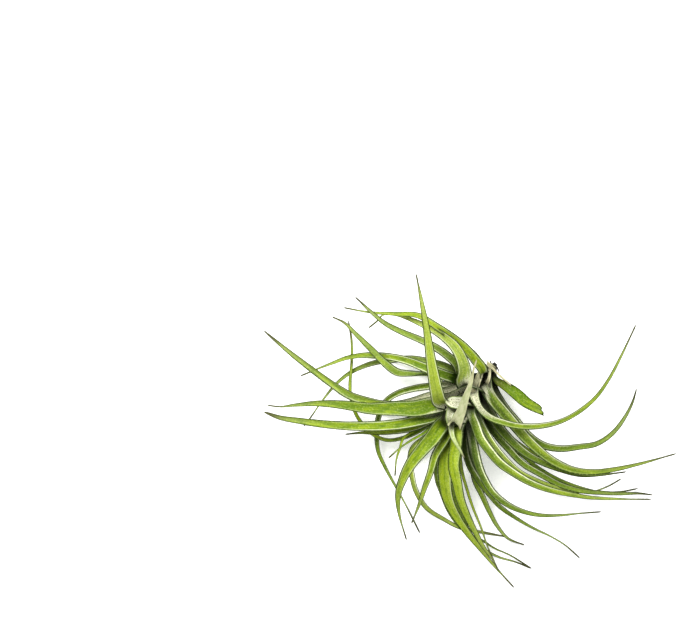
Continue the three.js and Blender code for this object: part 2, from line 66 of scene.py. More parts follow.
# The wiry roots' guide points, their thickness, and how far and how quickly they waver and swell
ROOT_WIRES = [
    [[15.2, 38.4, 28.6], [14, 39, 30], [12.9, 39.8, 31.4], [12.2, 41.4, 33]],
    [[15.2, 38.2, 28.4], [16.4, 37.4, 29.6], [17, 36, 31], [17.4, 34.6, 32.4]],
    [[15, 38.4, 28.6], [14.8, 39.6, 30], [14.4, 40.6, 31.4]],
    [[15, 38.4, 28], [15.8, 39.2, 26.6], [15.6, 39.6, 24.6]],
]
WIRE_RADIUS = 0.45
WIRE_END_RADIUS = 0.32
WIRE_WOBBLE = 0.12
WIRE_WOBBLE_PACE = 12
WIRE_SWELL = 0.12
WIRE_SWELL_PACE = 9
WIRE_SPACING = 0.5
WIRE_SIDES = 8

# How finely a curve is followed before it is divided evenly, and a blade's rings and columns
CURVE_STEPS = 40
FEWEST_RINGS = 12
RING_SPACING = 1.4
COLUMNS = 15
EDGE_CROWDING = 0.4

# A blade's thickness (mm), the share of its length from which it thins to the tip, how flat its section
# is, and the most that it may be as a share of half its width
EDGE_THICKNESS = 0.35
MID_THICKNESS = 0.95
BASE_THICKNESS = 1.5
TIP_THICKNESS = 0.5
THIN_FROM = 0.7
FLATNESS = 2.2
MOST_THICKNESS = 1.6

# A blade's outline: its least width (mm), the share of its length with the full width, the shares over
# which a round end and a thread-like tip close, and the least share of the width, squared, that is left
TIP_WIDTH = 1.0
FULL_WIDTH_UNTIL = 0.2
ROUND_STRETCH = 0.18
TIP_STRETCH = 0.015
LEAST_END = 0.03

# How much wider than its blade a leaf is at its foot, as a share, and over what length (mm)
SHEATH_FLARE = 0.75
SHEATH_LENGTH = 15.0
OTHER_FLARES = {"leaf_dry": (-0.5, 15), "leaf_torn": (-0.75, 30), "leaf_17": (1.3, 22),
                "sheath_old_1": (0, 15), "sheath_old_2": (0, 15), "sheath_old_3": (0, 15),
                "sheath_old_4": (0, 15), "sheath_crown": (0, 15), "sheath_flap": (0, 15)}

# How steeply a blade's halves rise at its ends at least (degrees), and from what share of its length
CHANNEL_AT_BASE = 42.0
CHANNEL_AT_TIP = 44.0
CHANNEL_TIP_FROM = 0.6

# Where a twisted leaf has come round to its own face, and how far a blade's roll and margins waver
TWIST_UNTIL = 0.55
TWIST_LENGTH = 0.18
ROLL_RIPPLE = 0.04
MARGIN_RIPPLE = 0.04

# The dry leaf's bend over the crown: where along it, over what length, how far its corners stand out, and
# how far it is crumpled there
DRY_BEND = 20.0
DRY_BEND_SPREAD = 4.0
DRY_CORNER = 2.2
DRY_CRUMPLE = 0.4

# A torn end: from what share of the length, how deep as a share of the width, its slant and its teeth
TORN_FROM = 0.9
TORN_DEPTH = 0.22
TORN_SLANT = 1.2
TORN_TEETH = 0.25

# No point of a leaf lies lower than this (mm)
FLOOR_CLEARANCE = 0.02

# How far the underside lies from the top in a leaf's flat layout (mm)
UNDER_SHIFT = 40.0

# A margin's width (mm), and its share of half the width where the blade is narrow
MARGIN_WIDTH = 0.5
NARROW_MARGIN = 0.22

# The half widths (mm) and the shares of the length between which the pale margin, partly a painted
# highlight, comes up from nothing
RIM_HALF_WIDTHS = (1.1, 1.6)
RIM_LENGTHS = (0.7, 0.45)

# The painted shade in the hollow of a channel: how far off the midrib, how broad, how strong at the foot,
# how much of that is lost along the leaf, and the least of it towards the tip
HOLLOW_OFFSET = 0.35
HOLLOW_WIDTH = 0.42
HOLLOW_AT_FOOT = 1.25
HOLLOW_LOSS = 1.5
LEAST_HOLLOW = 0.15

# How much paler the lit half of a leaf is painted at its midrib, as painted light, and how much more so
# towards its margin
LIT_AT_MIDRIB = 0.1
LIT_GAIN = 1.4

# How quickly the pale sheath ends along the midrib, and how much later along the margin
PALE_PACE = 1.4
PALE_PACE_LOSS = 0.8

# How strongly a dried foot is brown at its very end, so that it stays brown before it fades
DRIED_AT_FOOT = 1.4

# How far neighbours shade a point of a leaf and how far off its skin that is tested, in millimetres, and
# the rays, rings and columns of the test
SHADE_REACH = 26.0
SHADE_LIFT = 0.4
SHADE_RAYS = 20
SHADE_RING_STEP = 3
SHADE_COLUMN_STEP = 2

# Each leaf: name, height up the stem (0 to 1), width, taper (1 straight, more is slimmer), how steeply its
# two halves rise from the midrib, how far the blade's face is rolled and how much more at its foot
# (degrees), its guide points from the crown to the tip, and for a torn or short one the share of its
# length that is left
LEAVES = [
    ["leaf_torn", 0.05, 8.9, 0.5, 16, 0, 0, [[12.8, 34, 35], [16.1, 29.7, 37], [19.6, 27.3, 38],
     [22.7, 25.5, 38.5], [28.2, 21.4, 39.5], [33.3, 16.9, 40], [38.7, 13.7, 40], [43.6, 11.5, 39.5]],
     0.75],
    ["leaf_01", 0.1, 4.6, 1.0, 24, 0, 0, [[16, 29, 20], [23, 25, 12], [30, 21, 5], [37, 16, 0.4],
     [42, 13, 0.3]]],
    ["sheath_old_1", 0.5, 5, 0.7, -34, 0, 0, [[1.2, 22, 42.5], [3, 26, 44], [5, 31, 44.5], [7, 36, 41]],
     0.55],
    ["sheath_old_2", 0.16, 2.4, 0.6, -24, 0, 0, [[10.2, 28, 39.5], [11.6, 31.5, 42], [11.8, 36.5, 42]],
     0.6],
    ["sheath_old_3", 0.1, 1.4, 0.6, -24, 0, 0, [[12.5, 37.5, 35.5], [16.8, 33.6, 39], [21, 30, 41],
     [24.6, 27, 41]], 0.6],
    ["sheath_old_4", 0.03, 3.4, 0.5, -24, 0, 0, [[14, 36.5, 34], [12.4, 38.4, 36.5], [10.2, 40.2, 36]],
     0.6],
    ["leaf_02", 0.1, 4.8, 1.0, 24, 0, 0, [[8, 37, 22], [2, 46, 13], [-7, 53, 6], [-16, 60, 0.5],
     [-25, 64, 0.3]]],
    ["leaf_03", 0.12, 6.4, 0.9, 26, 12, 0, [[8, 33, 42], [7, 37, 48], [3, 42, 52], [-2, 48, 55],
     [-10, 55, 57], [-20, 62, 56], [-31, 68.5, 52], [-45, 69.5, 44], [-60, 70.5, 36], [-76, 73.4, 25]]],
    ["leaf_04", 0.15, 5.5, 0.5, 32, 10, 0, [[12, 27, 31], [16, 21, 30], [22, 12, 29], [28, 5, 28],
     [35, -3, 26], [44, -9, 25], [54, -11, 24], [65, -10, 23], [76, -8, 23], [85.8, -1.4, 23],
     [93.2, 8.4, 23], [97.4, 16.8, 24], [100, 25, 25]]],
    ["leaf_05", 0.22, 7.2, 0.75, 36, 15, 0, [[8.8, 29, 39], [10.6, 24, 42], [14.2, 18, 43],
     [20, 11, 43.5], [26, 4, 43], [33, -4, 42], [40.7, -11.5, 41], [49.7, -18.4, 38], [59.8, -23.1, 36],
     [71, -24.9, 34], [83, -24, 32], [102, -20, 31], [124, -14, 29]]],
    ["leaf_06", 0.25, 5.0, 1.0, 24, 0, 0, [[-13, 32, 26], [-24, 37, 18], [-35, 40, 12], [-45, 42, 6],
     [-55, 43, 0.6], [-66, 44, 0.3]]],
    ["leaf_07", 0.3, 5.6, 0.55, 28, -10, 0, [[-5, 32, 40], [-8, 39.3, 44], [-13, 44.3, 46],
     [-20, 49.3, 48], [-30, 54.3, 47], [-40.7, 58.8, 46], [-50.6, 63.9, 44], [-57.4, 69.3, 42],
     [-69, 80, 36]]],
    ["leaf_08", 0.3, 5.2, 0.9, 30, -15, 0, [[-9, 35, 34], [-14, 38, 34], [-24, 41, 33], [-36, 43, 30],
     [-48, 42, 26], [-59, 40, 22], [-71, 35, 17], [-80, 28, 12], [-89, 17, 8], [-96, 7, 5],
     [-100, 2, 3]]],
    ["leaf_09", 0.3, 6.4, 0.75, 40, 10, 0, [[8, 19, 37], [12.5, 9.5, 37], [18.5, 0.5, 37], [26, -7.5, 36],
     [34, -14.2, 35], [44, -19.4, 33], [54, -23.4, 31], [66, -26.8, 28], [78, -26.8, 25], [94, -25, 22]]],
    ["leaf_10", 0.35, 7, 0.65, 26, 8, 66, [[-11, 31, 38], [-18, 33, 40], [-28, 33.6, 41], [-37, 33.6, 42],
     [-44, 34.6, 43], [-51, 40, 43], [-60, 49, 41], [-69, 58, 37], [-75, 64, 34], [-83, 68, 30]]],
    ["leaf_11", 0.35, 5.2, 1.0, 24, 0, 0, [[9, 13, 25], [16, 4, 17], [25, -5, 10], [35, -12, 4],
     [46, -19, 0.5], [58, -23, 0.3]]],
    ["leaf_12", 0.38, 3, 0.6, 30, 0, 0, [[7, 15, 27], [13, 5, 25], [20, -4, 22], [29, -13, 19],
     [40, -22, 15], [52, -29, 12], [65, -34, 9], [78, -37, 6], [90, -37, 5], [101, -35, 4]]],
    ["leaf_13", 0.4, 6.6, 0.85, 24, -8, 0, [[-9, 31, 45], [-17, 33.7, 48], [-27, 37.6, 48],
     [-37, 41.5, 45], [-48, 44, 41], [-60, 45, 36], [-72, 43.8, 31], [-84, 39.6, 26], [-102, 32.3, 18]]],
    ["leaf_14", 0.4, 5.0, 1.0, 24, 0, 0, [[-11, 25, 24], [-18, 29, 14], [-22, 36, 7], [-24, 47, 1],
     [-26, 57, 0.3]]],
    ["leaf_15", 0.42, 4.8, 0.45, 36, 10, 0, [[6, 15, 34], [10, 6, 32], [16, -3, 30], [23, -11, 28],
     [31.8, -20, 26], [42.8, -26.6, 23], [53.9, -32.6, 21], [66, -36.2, 19], [78, -37.4, 17],
     [90, -38, 14], [102, -38, 12], [110, -39, 11]]],
    ["leaf_16", 0.45, 5.2, 0.95, 26, -5, 0, [[-7, 28, 36], [-16.8, 27.5, 35], [-25.8, 26.5, 33],
     [-35.7, 24.8, 30], [-44, 22, 27], [-50, 18, 24], [-53.5, 12, 20], [-55.5, 5, 17], [-56, -4, 14],
     [-55, -13, 11], [-50, -24, 8], [-44, -35, 6], [-38, -46, 4.5], [-30, -62, 3]]],
    ["leaf_17", 0.5, 4.3, 0.55, 30, 18, 0, [[2.2, 23.5, 45], [3.4, 18.5, 50], [6.5, 12.5, 52.5],
     [12, 7.8, 53], [19, 5, 54], [29, 2.6, 53], [41, 2.5, 51], [53, 5, 48], [64.3, 10.6, 45],
     [75, 19.4, 43], [83, 30.4, 42], [90.3, 44, 41], [99.6, 63.4, 40]]],
    ["leaf_18", 0.5, 8.6, 1.2, 26, -12, 0, [[-4, 28, 49], [-3, 35, 56], [-5, 43, 60], [-9, 50, 61],
     [-17, 57, 57], [-30, 64, 46], [-44, 69, 36], [-52, 69, 31], [-56, 65, 27], [-61, 61, 23]]],
    ["leaf_19", 0.5, 5.4, 1.0, 24, 0, 0, [[-18, 13, 26], [-33, 12, 17], [-48, 12, 9], [-63, 13, 3.5],
     [-75, 15, 0.5], [-87, 16, 0.3]]],
    ["leaf_20", 0.5, 5.0, 1.0, 24, 0, 0, [[2, 3, 26], [8, -7, 17], [15, -16, 9], [24, -24, 3.5],
     [34, -30, 0.5], [45, -35, 0.3]]],
    ["leaf_21", 0.55, 3.6, 0.7, 30, 0, 0, [[1.8, 16, 42], [4, 10.5, 43.5], [6.6, 4.6, 44],
     [9.8, -1.5, 44], [14.2, -8.6, 43], [20.6, -16.4, 40], [30, -25, 35], [40, -30, 30], [51, -34, 22],
     [62, -37, 14], [73, -37, 10], [82, -34, 8], [91, -29, 7]]],
    ["leaf_22", 0.6, 7, 0.5, 32, -22, 0, [[-8, 24, 42], [-16, 22, 43], [-25, 19.6, 42], [-36, 16.4, 41],
     [-48, 14.9, 38], [-60, 17, 36], [-72, 21, 34], [-83, 28, 32], [-94, 36, 30], [-107.6, 46.4, 27],
     [-124, 60, 24]]],
    ["leaf_23", 0.6, 6.4, 0.85, 34, -12, 0, [[0, 11, 48], [3, 3, 51], [6, -5, 52], [11, -12, 52],
     [17, -19, 50], [25, -25, 47], [35, -31, 43], [46.2, -35.4, 38], [58.1, -38.2, 33], [72, -40.5, 28],
     [90, -41.4, 24], [109, -41.6, 21]]],
    ["leaf_24", 0.65, 6.2, 0.9, 40, -10, 0, [[-1, 10, 43], [0, 0, 44], [2, -10, 43], [4.4, -20, 40],
     [7.6, -28, 36], [13.6, -37.5, 32], [22, -44.4, 28], [31, -48.6, 24], [42, -51, 21], [54, -51.1, 19],
     [66, -50, 18], [79, -49, 18]]],
    ["leaf_25", 0.65, 4.6, 1.0, 24, 0, 0, [[-2, 0, 22], [-3, -11, 14], [-1, -20, 7], [3, -27, 2],
     [9, -32, 0.4], [14, -38, 0.3]]],
    ["leaf_26", 0.7, 10.7, 0.95, 16, -8, 0, [[-14, 17, 47], [-23, 15, 50], [-33, 13, 51], [-45, 13, 50],
     [-60, 13, 46], [-75, 15, 40], [-91, 16, 32], [-105, 15, 26], [-114, 14, 22], [-122, 15, 19]]],
    ["leaf_27", 0.7, 4.8, 0.5, 34, 0, 0, [[-2, 3, 31], [-2, -9, 28], [1, -20, 25], [3, -30, 20],
     [7.5, -39.7, 15], [11.5, -48.7, 11], [16.4, -57.6, 7], [23, -65, 4], [33, -69, 2.5]]],
    ["leaf_28", 0.75, 5.3, 1.05, 40, -10, 0, [[-4, 6, 37], [-4, -4, 37], [-3, -13, 35], [0, -22, 32],
     [5, -30, 28], [11, -38, 23], [18, -46, 18], [27.2, -52.6, 13], [37.3, -58.5, 9], [48.2, -63.7, 6],
     [57, -69, 4], [66, -77, 3]]],
    ["leaf_29", 0.75, 5.4, 1.0, 24, 0, 0, [[-11, -4, 26], [-13, -15, 17], [-13, -26, 9], [-11, -37, 3],
     [-8, -45, 0.5], [-5, -50, 0.3]]],
    ["leaf_30", 0.78, 7, 0.4, 24, 8, 0, [[-14, 12, 43], [-22, 8, 44], [-31, 5.7, 44], [-42, 3.6, 43],
     [-55, 2.4, 41], [-72, 2.4, 36], [-87, 3.4, 30], [-102, 5.4, 24], [-114, 7.4, 20], [-124, 11, 16]]],
    ["leaf_31", 0.8, 2.6, 0.25, 30, 0, 0, [[-14, 10, 34], [-23, 4, 28], [-31, -1, 24], [-41, -5, 21],
     [-50, -6, 19], [-59, -2, 18], [-67, 7, 18], [-71, 17, 19], [-72, 27, 20], [-71, 41, 23],
     [-71, 53, 26], [-73, 66, 28]]],
    ["leaf_32", 0.8, 4, 0.4, 34, 0, 0, [[-18, 1, 34], [-27, -4, 31], [-34, -10, 27], [-36, -17, 22],
     [-35, -26, 16], [-32.6, -36, 10], [-26.2, -46.4, 5], [-15.7, -53.3, 1.5], [-6, -58.4, 0.5],
     [6, -61, 0.4], [22, -64, 0.3]]],
    ["leaf_33", 0.8, 2.3, 0.5, 24, 0, 0, [[-5, 0, 43], [-6, -12, 43], [-5, -24, 40], [-2, -35, 35],
     [1.6, -46.1, 28], [6.5, -58.2, 19], [10.6, -70.1, 11], [15, -80, 7]]],
    ["leaf_34", 0.85, 9, 0.8, 18, 0, 0, [[-12.5, 15.5, 50], [-18, 17, 57.5], [-20, 23, 66],
     [-23.2, 40, 78], [-26.5, 63, 88], [-32.4, 94, 96]]],
    ["leaf_35", 0.85, 5.0, 0.6, 34, 0, 0, [[-15, 10, 38], [-23, 6, 37], [-32, 1.8, 36], [-42, -0.4, 35],
     [-54, -1.6, 32], [-65, -1.6, 29], [-75, -2.6, 26]]],
    ["leaf_36", 0.85, 3.2, 0.5, 24, 0, 0, [[-10, 0, 34], [-12, -12, 31], [-13, -25, 27], [-10, -39, 21],
     [-5, -52, 14], [1, -63, 8], [8, -71, 4], [17, -76, 1], [27, -79, 0.4], [37, -83, 0.3]]],
    ["leaf_37", 0.85, 5.2, 1.0, 24, 0, 0, [[-20, -1, 22], [-27, -8, 15], [-34, -16, 9], [-38, -24, 4],
     [-41.5, -31, 0.6], [-44, -40, 0.3]]],
    ["leaf_38", 0.9, 2.3, 0.6, 24, 0, 0, [[-15, 8, 41], [-20, 4, 43], [-28, -2, 44], [-35, -6, 43],
     [-41, -10, 41], [-49, -17, 36]]],
    ["leaf_39", 0.9, 2.3, 0.5, 24, 0, 0, [[-16, 8, 35], [-27, 3, 32], [-34, -1, 31], [-40, -5, 30],
     [-42, -11, 28], [-44, -17, 25], [-45, -28, 18]]],
    ["leaf_40", 0.9, 2.8, 0.6, 36, 30, 0, [[-13, 0, 41], [-17, -9, 40], [-20, -19, 37], [-20, -29, 32],
     [-17, -38, 26], [-13, -48, 20], [-7, -57, 14], [0, -63, 11], [7, -66, 9], [15, -71, 7],
     [24, -75, 5.5], [37, -83, 4]]],
    ["leaf_41", 0.93, 7.8, 0.8, 22, -6, 0, [[-8, 0, 52], [-9, -11, 55], [-10, -21, 55], [-8, -31, 51],
     [-6, -41, 45], [-2, -51, 37], [3, -61, 29], [8, -70, 21], [13.6, -77.6, 15], [17, -84.3, 11]]],
    ["leaf_42", 0.95, 5.8, 0.75, 30, 16, 0, [[-12, 0, 50], [-15.8, -7, 53], [-20.6, -15, 54],
     [-23.6, -25, 50], [-26.9, -34, 42], [-30.6, -45, 30], [-35, -56, 18]]],
    ["leaf_dry", 0.95, 8.7, 1, 12, 0, 0, [[-9.6, 5.5, 57], [-8.6, 4.4, 64], [-5.4, 11, 70],
     [-3.1, 18, 75], [-1, 24, 78], [0.9, 30, 81], [2.1, 36, 83], [4, 42.4, 83.6]]],
    ["sheath_crown", 0.85, 7.8, 0.4, -12, 0, 0, [[-3, 16, 50], [-7, 16.4, 54], [-11, 16.8, 56.5],
     [-15, 17.4, 56.5]], 0.5],
    ["sheath_flap", 0.98, 6.6, 0.5, -20, 0, 0, [[-11, 12, 52], [-12.2, 10, 57.5], [-12.8, 6.5, 59.5],
     [-12.8, 3, 59]], 0.6],
    ["leaf_43", 0.97, 9.2, 1, 22, 12, 0, [[-11, 1, 47], [-13, -10, 50], [-15, -21, 49], [-15, -32, 44],
     [-13, -42, 37], [-8, -52, 29], [-1, -62, 22], [7, -72, 15], [16, -83, 9], [26.6, -94.6, 4]]],
    ["leaf_curled", 0.97, 4.2, 0.6, 24, 0, 0, [[-11, 3, 53], [-11.2, -0.6, 56], [-10.4, -4.2, 58],
     [-8.4, -8, 58.5], [-6, -12, 58], [-3.4, -17, 57]]],
    ["leaf_44", 1.0, 9.6, 1.15, 26, 10, 0, [[-14, 5, 50], [-18, 2, 54], [-22.8, -4.6, 58],
     [-28.8, -11.6, 60], [-34.9, -19.4, 57], [-40.1, -29, 48], [-43, -39, 37], [-42.2, -51, 24],
     [-38, -66, 8]]],
]

DEEP_GREEN_LEAVES = {"leaf_04", "leaf_07", "leaf_08", "leaf_09", "leaf_12", "leaf_15", "leaf_16",
                     "leaf_24", "leaf_27", "leaf_28", "leaf_36", "leaf_40"}

# Sheaths with a round end
ROUND_ENDED = {"sheath_crown", "sheath_flap"}

# How silvery a leaf is all over, where it isn't the usual share
SILVER = {"leaf_34": 0.5, "leaf_18": 0.8, "leaf_03": 0.1, "leaf_26": 0.1, "leaf_07": 0.3, "leaf_10": 0.3,
          "leaf_22": 0.3, "leaf_32": 0.6, "leaf_35": 0.0, "leaf_21": 0.5, "leaf_08": 0.45, "leaf_33": 0.5,
          "leaf_36": 0.3, "leaf_38": 0.05, "leaf_30": 0.05, "leaf_torn": 0.05}
USUAL_SILVER = 0.12

# Leaves lit from their left side: how much paler that half is painted, as painted light, beyond the other
# one, and the share of the pale margin that is left on the unlit half
LIT_HALF = {"leaf_17": 1.0, "leaf_05": 0.85, "leaf_09": 0.5, "leaf_15": 0.3, "leaf_23": 0.75,
             "leaf_24": 0.45, "leaf_28": 0.3, "leaf_04": 0.4, "leaf_21": 0.5, "leaf_12": 0.3,
             "leaf_27": 0.4, "leaf_41": 0.45, "leaf_43": 0.5, "leaf_32": 0.3, "leaf_35": 0.4}
UNLIT_MARGIN = 0.15

# How much darker (or, below nought, lighter) a leaf's green is, where it isn't drawn at random
TONE = {"leaf_26": 0.45, "leaf_44": -0.1, "leaf_43": -0.3, "leaf_41": -0.3, "leaf_34": -0.45,
        "leaf_03": -0.2, "leaf_42": 0.0, "leaf_35": -0.4, "leaf_30": 0.15, "leaf_07": -0.1,
        "leaf_08": -0.4, "leaf_15": -0.15, "leaf_28": -0.15, "leaf_27": -0.4, "leaf_31": -0.2,
        "leaf_36": -0.45, "leaf_33": -0.45, "leaf_39": -0.4, "leaf_40": -0.45, "leaf_09": -0.1,
        "leaf_torn": 0.4, "leaf_38": 0.35, "leaf_22": 0.35, "leaf_10": 0.45, "leaf_curled": -0.2}
TONE_SPREAD = 0.1

# How far from the stem a leaf's pale sheath reaches (mm), and the side on which it runs on longest, seen
# along the leaf: -1 left, 1 right, 0 both alike
PALE_BASE = {"leaf_17": (36, -1), "leaf_05": (20, 0), "leaf_torn": (1, 0), "leaf_34": (22, 0),
             "leaf_23": (18, 1), "leaf_21": (26, 0), "leaf_22": (56, 0), "leaf_16": (30, 0),
             "leaf_08": (20, 0), "leaf_24": (28, 1), "leaf_28": (26, 1), "leaf_04": (26, 0),
             "leaf_09": (26, 0), "leaf_30": (26, 1), "leaf_18": (22, 1), "sheath_crown": (80, 0),
             "sheath_flap": (40, 0), "leaf_curled": (20, 1), "leaf_26": (24, 0)}
USUAL_PALE_BASE = (14, 0)

# How far a leaf has dried brown from its foot (mm), which is next to nothing on the others
DRIED_FOOT = {"leaf_torn": 15}
USUAL_DRIED_FOOT = 0.01

# How clearly a leaf's margins are paler than its blade, partly their own pale edge and partly a painted
# highlight, where it isn't the usual share
PALE_MARGIN = {"leaf_44": 0.25, "leaf_42": 0.35, "leaf_41": 0.1, "leaf_43": 0.3, "leaf_26": 0.2,
               "leaf_30": 0.45, "leaf_34": 0.45, "leaf_18": 0.4, "leaf_03": 0.2, "leaf_07": 0.35,
               "leaf_10": 0.3, "leaf_08": 0.35, "leaf_torn": 0, "leaf_22": 0.4, "leaf_13": 0.5,
               "leaf_16": 0.6}
USUAL_PALE_MARGIN = 0.9

# How dark the painted shade in the hollow of a leaf's channel is, and the half of the blade in which it
# lies:
# -1 left, 1 right, 0 both
CHANNEL_SHADE = {"leaf_05": (1, 1), "leaf_09": (0.55, 0), "leaf_24": (0.4, 0), "leaf_28": (0.5, 0),
                "leaf_15": (0.4, 0), "leaf_12": (0.4, 0), "leaf_23": (0.4, 1), "leaf_17": (0.3, 1),
                "leaf_08": (0.5, 0), "leaf_16": (0.5, 0), "leaf_04": (0.2, 0), "leaf_42": (0.4, 0)}
USUAL_CHANNEL_SHADE = (0.15, 0)

# How much painted shade darkens a leaf's foot, and the painted shade in the hollows on it, where it isn't
# the usual share
FOOT_SHADE = {"leaf_34": 0.0, "leaf_18": 0.6, "leaf_44": 0.8, "leaf_41": 0.35, "leaf_43": 0.3,
             "leaf_05": 0.7, "leaf_03": 0.5, "leaf_35": 0.3, "leaf_32": 0.3, "leaf_30": 0.5,
             "leaf_22": 0.05, "leaf_07": 0.6, "leaf_08": 0.6, "leaf_16": 0.15, "leaf_13": 1.3,
             "leaf_28": 0.8, "leaf_42": 0.4, "leaf_curled": 0.4, "sheath_crown": 0.4, "sheath_flap": 0.5,
             "leaf_17": 0.5, "leaf_26": 0.3}
USUAL_FOOT_SHADE = 1.0


def placed(point):
    """Where a guide point really is: on its sight line from the eye, at the point's own height."""
    x, y, z = point
    along = (EYE[2] - z) / (EYE[2] - VIEW_PLANE)
    return np.array([EYE[0] + (x - EYE[0]) * along, EYE[1] + (y - EYE[1]) * along, z]) + CENTRING


def on_stem(height):
    """The point at a share of the height up the stem's axis."""
    return STEM_FOOT + (STEM_APEX - STEM_FOOT) * height + CENTRING


def unit(v):
    return v / np.linalg.norm(v, axis=-1, keepdims=True)


def between(value, nought, one):
    """How far a value has come from one number to another, held between 0 and 1."""
    return np.clip((value - nought) / (one - nought), 0, 1)


def smooth_curve(points, spacing):
    """A centripetal Catmull-Rom curve through the points, as evenly spaced points, and its length."""
    given = np.array(points, float)
    given = np.vstack([2 * given[0] - given[1], given, 2 * given[-1] - given[-2]])
    t = np.linspace(0, 1, CURVE_STEPS, endpoint=False)[:, None]
    dense = []
    for a, b, c, d in zip(given[:-3], given[1:-2], given[2:-1], given[3:]):
        before, here, after = (math.sqrt(np.linalg.norm(q - p)) for p, q in ((a, b), (b, c), (c, d)))
        leaving = ((b - a) / before - (c - a) / (before + here) + (c - b) / here) * here
        arriving = ((c - b) / here - (d - b) / (here + after) + (d - c) / after) * here
        dense.append(b + leaving * t + (-3 * b + 3 * c - 2 * leaving - arriving) * t ** 2
                     + (2 * b - 2 * c + leaving + arriving) * t ** 3)
    dense = np.vstack(dense + [given[-2:-1]])
    reached = np.concatenate([[0], np.cumsum(np.linalg.norm(np.diff(dense, axis=0), axis=1))])
    count = max(FEWEST_RINGS, round(reached[-1] / spacing))
    wanted = np.linspace(0, reached[-1], count + 1)
    return np.stack([np.interp(wanted, reached, dense[:, k]) for k in range(3)], 1), reached[-1]


def carried_frames(centres, roll):
    """Across and upward directions along a curve, carried from its middle to both ends without spin."""
    tangents = unit(np.gradient(centres, axis=0))
    normals = np.zeros_like(centres)
    middle = (len(centres) - 1) // 2

    def carry(source, i):
        normals[i] = unit(source - source.dot(tangents[i]) * tangents[i])

    carry(np.array([0.0, 0.0, 1.0]), middle)
    for i in range(middle + 1, len(centres)):
        carry(normals[i - 1], i)
    for i in range(middle - 1, -1, -1):
        carry(normals[i + 1], i)
    rolled = normals * np.cos(roll)[:, None] + np.cross(tangents, normals) * np.sin(roll)[:, None]
    return tangents, np.cross(tangents, rolled), rolled


def outline(name, s, reach, taper):
    """Share of the full width at a share s of the whole leaf's length, with the sheath at its foot."""
    tapered = np.minimum(1, (1 - s) / (1 - FULL_WIDTH_UNTIL)) ** taper
    flare, flare_length = OTHER_FLARES.get(name, (SHEATH_FLARE, SHEATH_LENGTH))
    along = np.minimum(1, reach / flare_length)
    return tapered + flare * np.cos(along * math.pi / 2) ** 2


def half_widths(name, width, taper, left, fraction, reach):
    """Half the blade's width at each ring, drawn in to a round end or a thread-like tip unless torn."""
    half = np.maximum(TIP_WIDTH, width * outline(name, fraction * left, reach, taper)) / 2
    if name in ROUND_ENDED:
        return half * np.sqrt(np.clip((1 - fraction) / ROUND_STRETCH, LEAST_END, 1))
    if left == 1.0:
        return half * np.sqrt(np.clip((1 - fraction) / TIP_STRETCH, LEAST_END, 1))
    return half


def channel_angle(s, reach, fold):
    """How steeply a blade's halves rise from its midrib, in radians: more so at its foot and its tip."""
    towards_base = between(reach, 2 * SHEATH_LENGTH, 0)
    towards_tip = between(s, CHANNEL_TIP_FROM, 1)
    base = max(CHANNEL_AT_BASE, fold)
    tip = max(CHANNEL_AT_TIP, fold)
    return np.radians(fold + (base - fold) * towards_base + (tip - fold) * towards_tip)


def ripple(rng, along, waves, size):
    """A soft irregular wave along a blade: a few sines whose lengths and phases are drawn."""
    total = np.zeros_like(along)
    for k in range(1, waves + 1):
        total += np.sin(along * k * rng.uniform(0.12, 0.2) + rng.uniform(0, 2 * math.pi)) / k
    return total * size


def grid_mesh(name, rings, values, flat=None):
    """A closed skin over rings of equally many points, its ends filled, with float values on its points."""
    count, around = rings.shape[:2]
    faces = []
    for i in range(count - 1):
        for j in range(around):
            k = (j + 1) % around
            faces.append((i * around + j, i * around + k, (i + 1) * around + k, (i + 1) * around + j))
    half = around // 2
    for start, turn in ((0, -1), ((count - 1) * around, 1)):
        for j in range(half - 1):
            quad = (start + j, start + j + 1, start + around - 2 - j, start + around - 1 - j)
            faces.append(quad[::turn])
    mesh = bpy.data.meshes.new(name)
    mesh.from_pydata((rings.reshape(-1, 3) * MM).tolist(), [], faces)
    for key, column in values.items():
        layer = mesh.attributes.new(key, "FLOAT", "POINT")
        everywhere = np.broadcast_to(column, (count, around))
        layer.data.foreach_set("value", everywhere.astype(np.float32).ravel())
    if flat is not None:
        uv = mesh.uv_layers.new(name="flat")
        index = np.zeros(len(mesh.loops), np.int32)
        mesh.loops.foreach_get("vertex_index", index)
        uv.data.foreach_set("uv", flat.reshape(-1, 2)[index].astype(np.float32).ravel())
    mesh.shade_smooth()
    piece = bpy.data.objects.new(name, mesh)
    bpy.context.scene.collection.objects.link(piece)
    return piece


def dry_corners(across, reach):
    """How far the dry leaf's lower corners stand out where it bends back over the crown, in millimetres."""
    near = np.exp(-((reach - DRY_BEND) / DRY_BEND_SPREAD) ** 2)
    return near[:, None] * (DRY_CORNER * np.abs(across) ** 3 + DRY_CRUMPLE * np.sin(across * 5))


def torn_end(across, fraction, seed):
    """How far a torn leaf's end runs on along the leaf at each point, as a share of its width."""
    jagged = TORN_SLANT * across + TORN_TEETH * np.sin(across * 7 + seed)
    return TORN_DEPTH * between(fraction, TORN_FROM, 1)[:, None] * jagged


